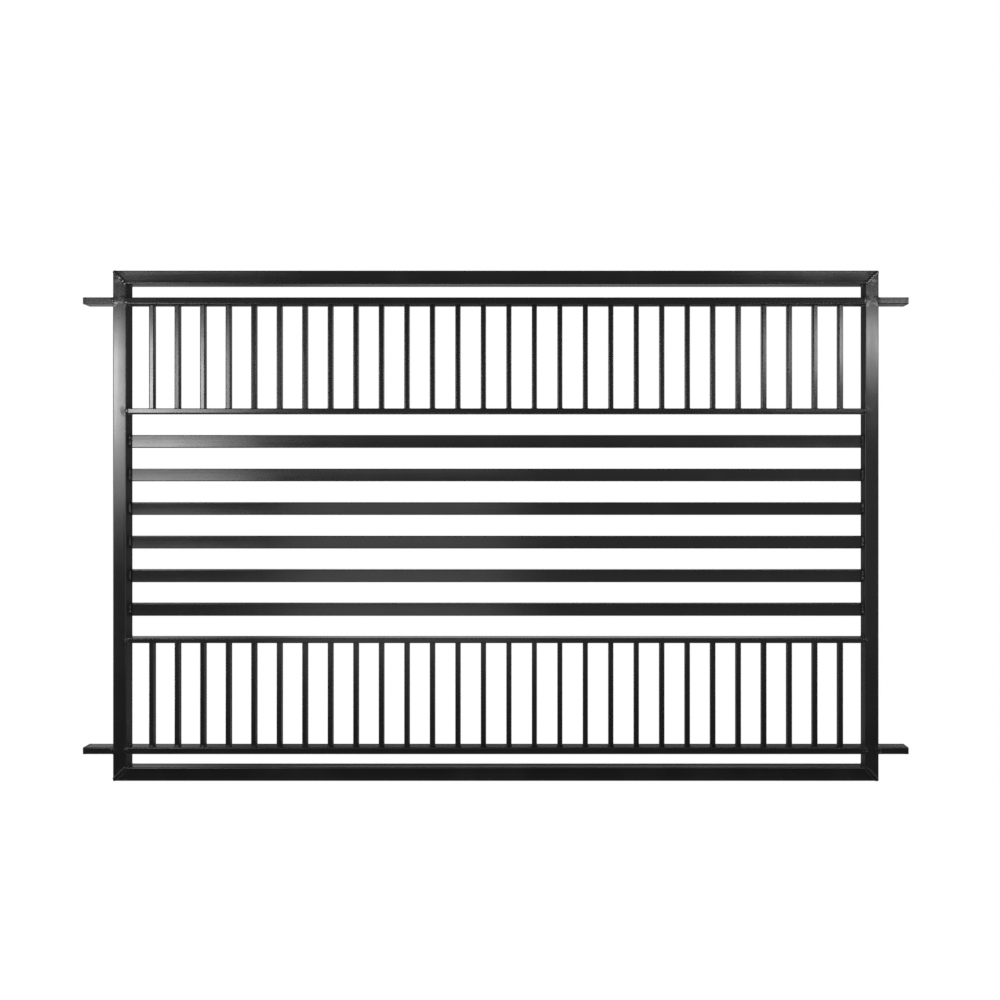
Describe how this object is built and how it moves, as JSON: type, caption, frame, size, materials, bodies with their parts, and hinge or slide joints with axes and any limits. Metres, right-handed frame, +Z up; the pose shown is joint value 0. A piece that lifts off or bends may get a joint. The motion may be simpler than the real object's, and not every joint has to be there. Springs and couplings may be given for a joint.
{
  "type": "security fence panel",
  "caption": "Welded steel fence panel: a square-tube frame holds rows of upright bars above and below a field of level slats, with side lugs that fix it between posts.",
  "frame": {"origin": "middle of the lower left lug's end face, where the panel meets its post", "axes": "+X along the panel from its left post to its right post seen from the front, +Y from front to back, +Z up"},
  "size_m": [1.94, 0.032, 1.2],
  "materials": {
    "black_paint": "semi-gloss"
  },
  "bodies": {
    "root": {"frame_bottom": "black_paint", "frame_top": "black_paint", "left_stile": "black_paint", "right_stile": "black_paint", "lower_outer_rail": "black_paint", "lower_inner_rail": "black_paint", "upper_inner_rail": "black_paint", "upper_outer_rail": "black_paint", "lower_pickets": "black_paint", "upper_pickets": "black_paint", "slat_1": "black_paint", "slat_2": "black_paint", "slat_3": "black_paint", "slat_4": "black_paint", "slat_5": "black_paint", "slat_6": "black_paint", "lower_left_lug": "black_paint", "upper_left_lug": "black_paint", "lower_right_lug": "black_paint", "upper_right_lug": "black_paint"}
  },
  "joints": []
}
